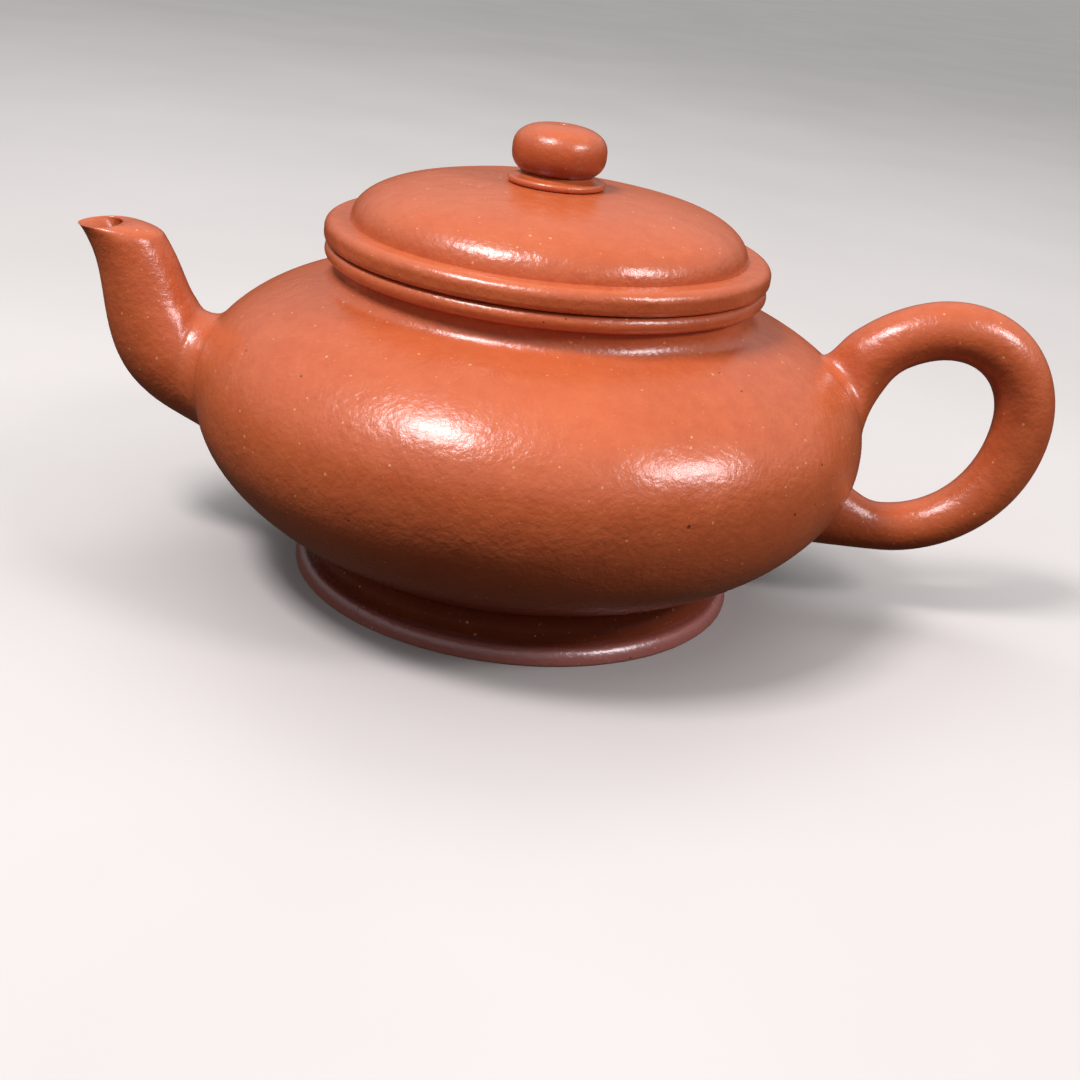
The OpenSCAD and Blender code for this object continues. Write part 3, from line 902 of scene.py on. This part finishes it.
def clay_sheen(tree, shader, place, shine, sand):
    """Satin sheen, broken up by patches and by the sand."""
    gloss = patches(tree, place, GLOSS, *ROUGHNESS)
    rough = maths(tree, "ADD", gloss, maths(tree, "MULTIPLY", sand, SAND_ROUGHNESS))
    link(tree, rough, shader.inputs["Roughness"])
    link(tree, maths(tree, "MULTIPLY", shine, SPECULAR), shader.inputs["Specular IOR Level"])
    link(tree, maths(tree, "MULTIPLY", shine, COAT), shader.inputs["Coat Weight"])
    shader.inputs["Coat Roughness"].default_value = COAT_ROUGHNESS


def clay_skin(tree, shader, place, sand, iron):
    """Finely wrinkled skin with raised sand and pitted iron spots."""
    wrinkles = maths(tree, "MULTIPLY", noise(tree, place, *WRINKLES), WRINKLE_HEIGHT)
    height = maths(tree, "ADD", wrinkles, noise(tree, place, *PEEL))
    height = maths(tree, "ADD", height, maths(tree, "MULTIPLY", sand, SAND_HEIGHT))
    height = maths(tree, "SUBTRACT", height, maths(tree, "MULTIPLY", iron, IRON_DEPTH))
    bump = node(tree, "ShaderNodeBump", Strength=1.0, Distance=SKIN_HEIGHT)
    link(tree, height, bump.inputs["Height"])
    link(tree, bump.outputs["Normal"], shader.inputs["Normal"])


def principled(name):
    """A new material and its tree and shader."""
    material = bpy.data.materials.new(name)
    material.use_nodes = True
    tree = material.node_tree
    shader = next(n for n in tree.nodes if n.type == "BSDF_PRINCIPLED")
    return material, tree, shader


def clay(name, colours, shade):
    """Burnished unglazed clay: mottled colour, a colour by height, sand, iron spots, satin sheen.

    The colour by height is painted shade under the belly and under the knob, and the band's own
    purple-brown on the foot.
    """
    material, tree, shader = principled(name)
    place = tree.nodes.new("ShaderNodeTexCoord").outputs["Object"]
    clouds = patches(tree, place, CLOUDS)
    deep, common, bright = colours
    colour = blend(tree, ranged(tree, clouds, 0, 1, CLOUD_LEAST, 1), deep, common)
    colour = blend(tree, patches(tree, place, MOTTLE, 0, MOTTLE_MOST), colour, bright)
    colour = blend(tree, patches(tree, place, FLECKS, FLECK_MOST, 0), colour, deep)
    shaded = shaded_share(tree, place, clouds, shade)
    # Paints the colour by height: painted shade under the belly and the knob, the band's own colour on
    # the foot
    colour = blend(tree, maths(tree, "MULTIPLY", shaded, shade.share), colour, shade.colour)
    sand, grit, iron = [grains(tree, place, grain) for grain in (SAND, GRIT, IRON)]
    for spots, grain in ((sand, SAND), (grit, GRIT), (iron, IRON)):
        colour = blend(tree, maths(tree, "MULTIPLY", spots, grain.share), colour, grain.colour)
    link(tree, colour, shader.inputs["Base Color"])
    shine = ranged(tree, shaded, 0, 1, shade.clear_shine, shade.shine)
    clay_sheen(tree, shader, place, shine, sand)
    clay_skin(tree, shader, place, sand, iron)
    return material


def floor_material():
    material, tree, shader = principled("pale_floor")
    place = tree.nodes.new("ShaderNodeTexCoord").outputs["Object"]
    colour = blend(tree, patches(tree, place, FLOOR_PATCHES), *FLOOR_COLOURS)
    link(tree, colour, shader.inputs["Base Color"])
    shader.inputs["Roughness"].default_value = FLOOR_ROUGHNESS
    shader.inputs["Specular IOR Level"].default_value = FLOOR_SPECULAR
    return material


# ---- scene ----
FLOOR_R = 12.0
FLOOR_SIDES = 96
WASH_POWER = 1.4
WASH_SPREAD = math.radians(100)
WINDOW_TINT = (1, 0.93, 0.97)
SKY_TINT = (0.97, 0.97, 1)
# Azimuth and elevation in degrees, distance and size in metres, power in watts, and colour
SOFTBOXES = {
    "window_left": (-48, 60, 0.60, (0.17, 0.12), 3.3, WINDOW_TINT),
    "window_right": (62, 38, 0.65, (0.15, 0.11), 1.9, WINDOW_TINT),
    "sky_behind": (178, 58, 0.75, (0.60, 0.30), 1.7, SKY_TINT),
}
WORLD_POWER = 0.42
WORLD_RISE = 0.42  # height above the horizon, as a sine, from which the world is bright
WORLD_LOW = (0.16, 0.10, 0.075)
WORLD_HIGH = (0.93, 0.95, 1.0)
BACKDROP = (1.08, 1.05, 1.01)
CAMERA_PLACE = (0, -210.865 * MM, 95.294 * MM)
CAMERA_YAW = 0.019
CAMERA_PITCH = 0.406
CAMERA_ROLL = 0.124
SENSOR_WIDTH = 36  # this and the lens in millimetres, as the camera takes them
LENS = 48.39
CLIP = (0.01, 20)


def make_floor():
    """A wide pale disc that the pot stands on, which throws no light back on to it."""
    work = bmesh.new()
    bmesh.ops.create_circle(work, cap_ends=True, segments=FLOOR_SIDES, radius=FLOOR_R)
    mesh = bpy.data.meshes.new("floor")
    work.to_mesh(mesh)
    work.free()
    floor = bpy.data.objects.new("floor", mesh)
    bpy.context.scene.collection.objects.link(floor)
    mesh.materials.append(floor_material())
    floor.visible_diffuse = False
    floor.visible_glossy = False
    floor_wash(floor)


def floor_wash(floor):
    """An overhead light that falls on the floor alone and keeps it evenly pale far behind the pot."""
    data = bpy.data.lights.new("floor_wash", "SUN")
    data.energy = WASH_POWER
    data.angle = WASH_SPREAD
    lamp = bpy.data.objects.new("floor_wash", data)
    bpy.context.scene.collection.objects.link(lamp)
    washed = bpy.data.collections.new("washed")
    washed.objects.link(floor)
    lamp.light_linking.receiver_collection = washed


def softbox(name, azimuth, elevation, distance, size, power, tint):
    """A square soft light that looks at the pot; azimuth 0 is the camera's side and 90 is +X."""
    a, e = math.radians(azimuth), math.radians(elevation)
    aim = Vector((0, 0, BELLY_Z))
    back = Vector((math.sin(a) * math.cos(e), -math.cos(a) * math.cos(e), math.sin(e)))
    data = bpy.data.lights.new(name, "AREA")
    data.shape = "RECTANGLE"
    data.size, data.size_y = size
    data.energy = power
    data.color = tint
    lamp = bpy.data.objects.new(name, data)
    lamp.location = aim + back * distance
    lamp.rotation_mode = "QUATERNION"
    lamp.rotation_quaternion = (-back).to_track_quat("-Z", "Y")
    bpy.context.scene.collection.objects.link(lamp)
    return lamp


def make_lights():
    lamps = {name: softbox(name, *facts) for name, facts in SOFTBOXES.items()}
    lamps["sky_behind"].visible_glossy = False


def make_world():
    """A bright sky over a dim ground, and a plain pale backdrop where the camera sees it."""
    world = bpy.data.worlds.new("studio")
    world.use_nodes = True
    tree = world.node_tree
    shine = next(n for n in tree.nodes if n.type == "BACKGROUND")
    shine.inputs["Strength"].default_value = WORLD_POWER
    up = height_of(tree, tree.nodes.new("ShaderNodeTexCoord").outputs["Generated"])
    light = blend(tree, ranged(tree, up, 0.0, WORLD_RISE), WORLD_LOW, WORLD_HIGH)
    seen = tree.nodes.new("ShaderNodeLightPath").outputs["Is Camera Ray"]
    link(tree, blend(tree, seen, light, BACKDROP), shine.inputs["Color"])
    bpy.context.scene.world = world


def make_camera():
    """Camera in front of the pot, looking down on it and rolled a little."""
    yaw, pitch, roll = CAMERA_YAW, CAMERA_PITCH, CAMERA_ROLL
    forward = Vector((math.sin(yaw) * math.cos(pitch), math.cos(yaw) * math.cos(pitch),
                      -math.sin(pitch)))
    right = Vector((math.cos(yaw), -math.sin(yaw), 0))
    up = right.cross(forward)
    right, up = (math.cos(roll) * right + math.sin(roll) * up,
                 -math.sin(roll) * right + math.cos(roll) * up)
    data = bpy.data.cameras.new("camera")
    data.sensor_width = SENSOR_WIDTH
    data.lens = LENS
    data.clip_start, data.clip_end = CLIP
    camera = bpy.data.objects.new("camera", data)
    turn = Matrix((right, up, -forward)).transposed()
    camera.matrix_world = Matrix.Translation(CAMERA_PLACE) @ turn.to_4x4()
    bpy.context.scene.collection.objects.link(camera)
    bpy.context.scene.camera = camera


# Node, body, clay, and the function that makes the piece
PIECES = (
    ("foot_ring", "pot", "foot_clay", foot_ring),
    ("base_disc", "pot", "foot_clay", base_disc),
    ("belly_wall", "pot", "body_clay", belly_wall),
    ("shoulder_disc", "pot", "body_clay", shoulder_disc),
    ("neck_ring", "pot", "body_clay", neck_ring),
    ("mouth_rim", "pot", "body_clay", mouth_rim),
    ("spout", "pot", "body_clay", spout),
    ("spout_strainer", "pot", "body_clay", spout_strainer),
    ("handle", "pot", "body_clay", handle),
    ("lid_collar", "lid_collar", "lid_clay", lid_collar),
    ("lid_plate", "lid", "lid_clay", lid_plate),
    ("lid_dome", "lid", "lid_clay", lid_dome),
    ("knob_pad", "lid", "lid_clay", knob_pad),
    ("knob", "lid", "lid_clay", knob),
)


def make_pot():
    finishes = {
        # The lid's and the foot's clay, and the colours by height under the belly and the knob, hold
        # painted shade
        "foot_clay": clay("foot_clay", FOOT_CLAY_PAINTED_DARK, FOOT_BAND),
        "body_clay": clay("body_clay", BODY_CLAY, UNDER_BELLY_PAINTED_SHADE),
        "lid_clay": clay("lid_clay", LID_CLAY_PAINTED_DIMMER, UNDER_KNOB_PAINTED_SHADE),
    }
    for node_name, body, slot, make in PIECES:
        piece = make()
        piece.data.materials.append(finishes[slot])
        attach(piece, body)
        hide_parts(node_name)


bpy.context.scene.view_settings.view_transform = "Standard"
make_camera()
make_lights()
make_world()
make_floor()
make_pot()
